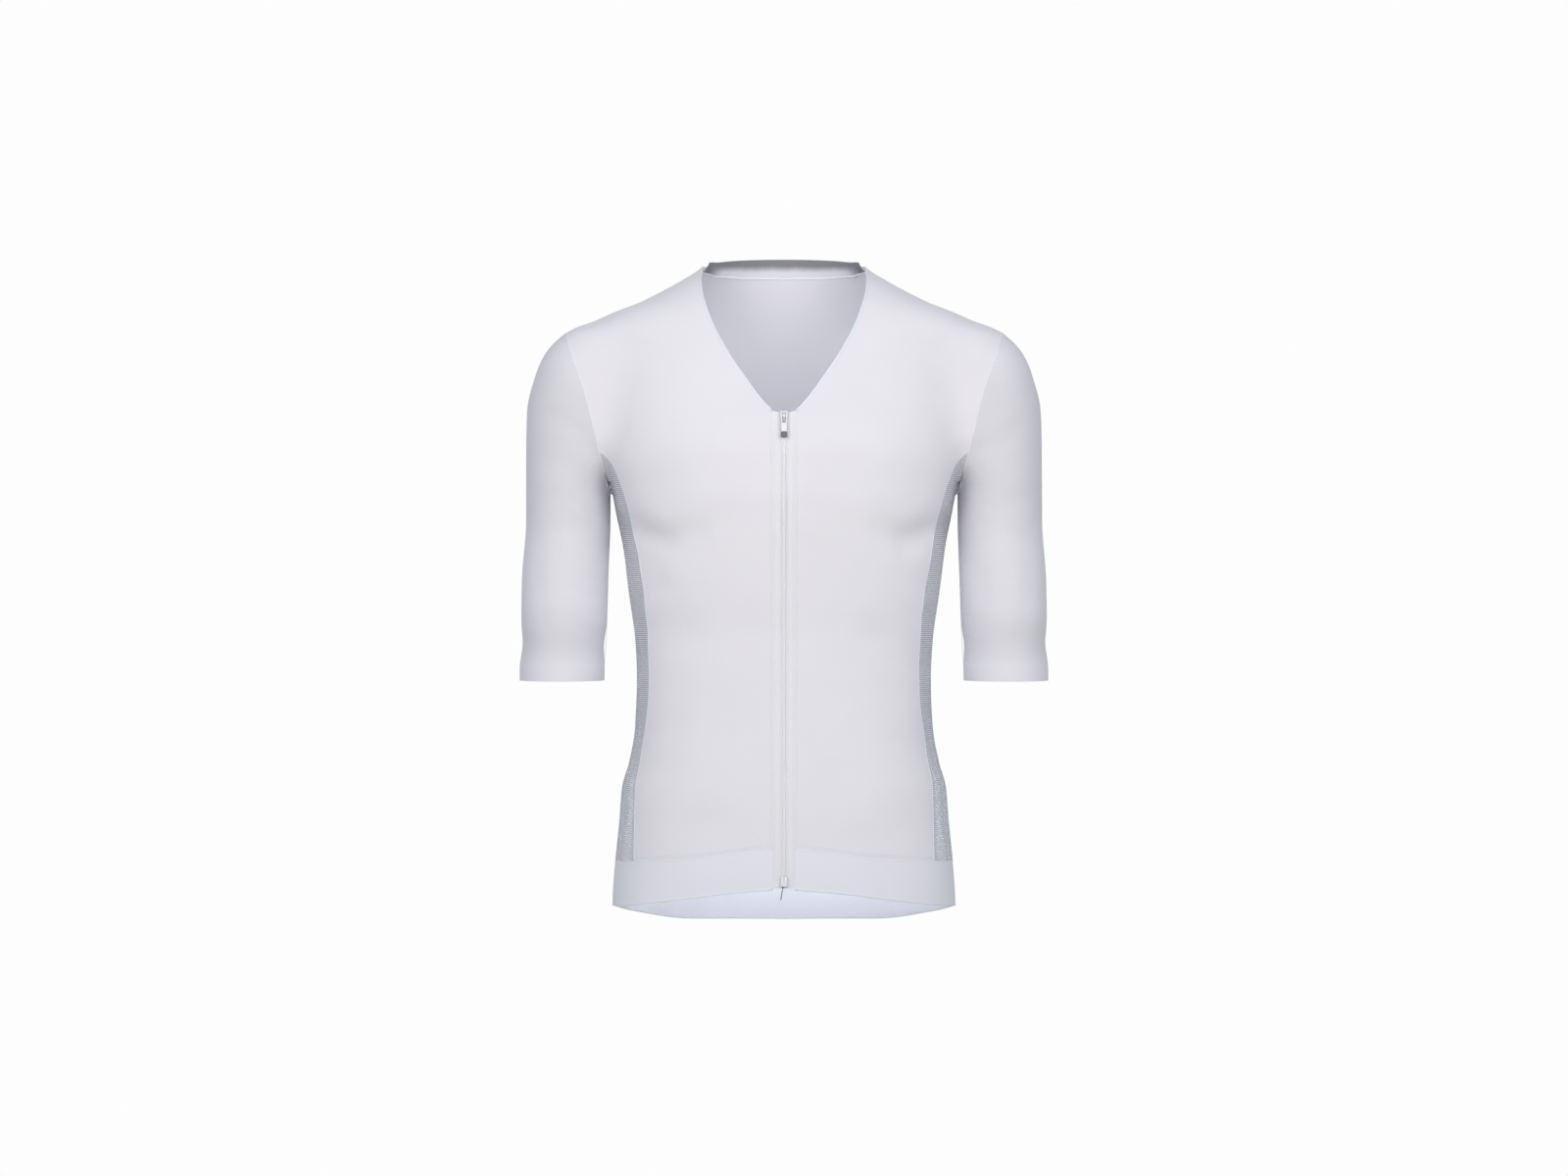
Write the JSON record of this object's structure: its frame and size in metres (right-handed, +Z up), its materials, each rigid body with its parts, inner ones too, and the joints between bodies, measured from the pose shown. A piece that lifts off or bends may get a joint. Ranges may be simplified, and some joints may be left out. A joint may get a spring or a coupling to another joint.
{
  "type": "cycling jersey",
  "caption": "Race-cut half-sleeve cycling jersey with a low V neck, full-length zip and drop tail, in the hollow form it is worn in.",
  "frame": {"origin": "on the centre line, level with the shoulders beside the neck and midway front to back, where a wearer's shoulders hold the jersey", "axes": "+Z up, -Y the front with the zip, +X the wearer's left"},
  "size_m": [0.5376, 0.2422, 0.6906],
  "materials": {
    "white_knit": "smooth fine knit, matt",
    "ribbed_knit": "knit with fine ribs across the arm, matt",
    "grey_mesh": "open grey knit with fine level ribs, matt",
    "band_knit": "dense smooth elastic knit, slight sheen",
    "tape_weave": "woven zip tape, matt",
    "white_plastic": "moulded, satin",
    "grey_plastic": "soft moulded grip, matt"
  },
  "bodies": {
    "garment": {"front_left": "white_knit", "front_right": "white_knit", "back": "white_knit", "pocket_panel": "white_knit", "side_left": "grey_mesh", "side_right": "grey_mesh", "sleeve_left": "ribbed_knit", "sleeve_right": "ribbed_knit", "neck_band": "band_knit", "hem_band": "band_knit", "zip_tape_left": "tape_weave", "zip_tape_right": "tape_weave", "zip_slider": "white_plastic", "zip_box": "white_plastic"},
    "pull": {"zip_pull": "white_plastic", "zip_grip": "grey_plastic"}
  },
  "joints": [
    {"name": "pull_swing", "type": "hinge", "parent": "garment", "child": "pull", "pos_m": [0, -0.11623, -0.15428], "axis": [-1, 0, 0], "range_deg": [0, 160]}
  ]
}
